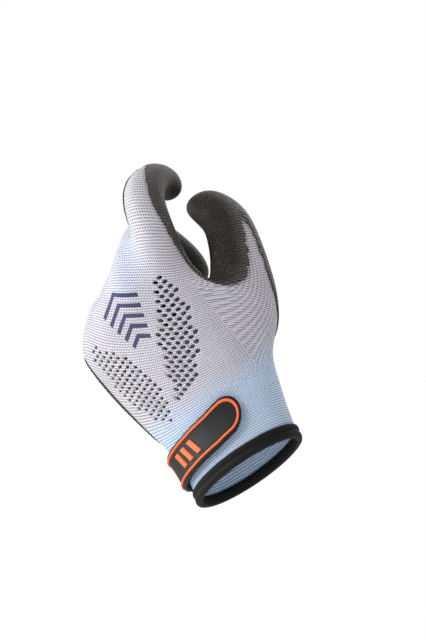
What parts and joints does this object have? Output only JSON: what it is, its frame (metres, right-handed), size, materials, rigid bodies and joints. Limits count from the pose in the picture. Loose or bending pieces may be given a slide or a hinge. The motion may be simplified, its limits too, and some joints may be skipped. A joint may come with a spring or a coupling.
{
  "type": "coated work glove",
  "caption": "Seamless knitted left-hand work glove with a dipped palm and fingertips and a wrist strap, held in a pinch grip.",
  "frame": {"origin": "centre of the wrist opening, in the plane of its bound edge", "axes": "+Z from the wrist opening along the cuff towards the fingers, -Y the back of the hand, +X the thumb's side"},
  "size_m": [0.1141, 0.0887, 0.1696],
  "materials": {
    "knit": "matte knitted polyamide",
    "coating": "matte dipped foam with fine grain",
    "black_tape": "matte woven tape",
    "tab_rubber": "satin moulded",
    "orange_rubber": "satin moulded"
  },
  "bodies": {
    "root": {"knit_liner": "knit", "palm_coating": "coating", "cuff_binding": "black_tape", "strap_band": "black_tape", "strap_tab": "tab_rubber", "tab_rim": "orange_rubber", "tab_bar_1": "orange_rubber", "tab_bar_2": "orange_rubber", "tab_bar_3": "orange_rubber"}
  },
  "joints": []
}
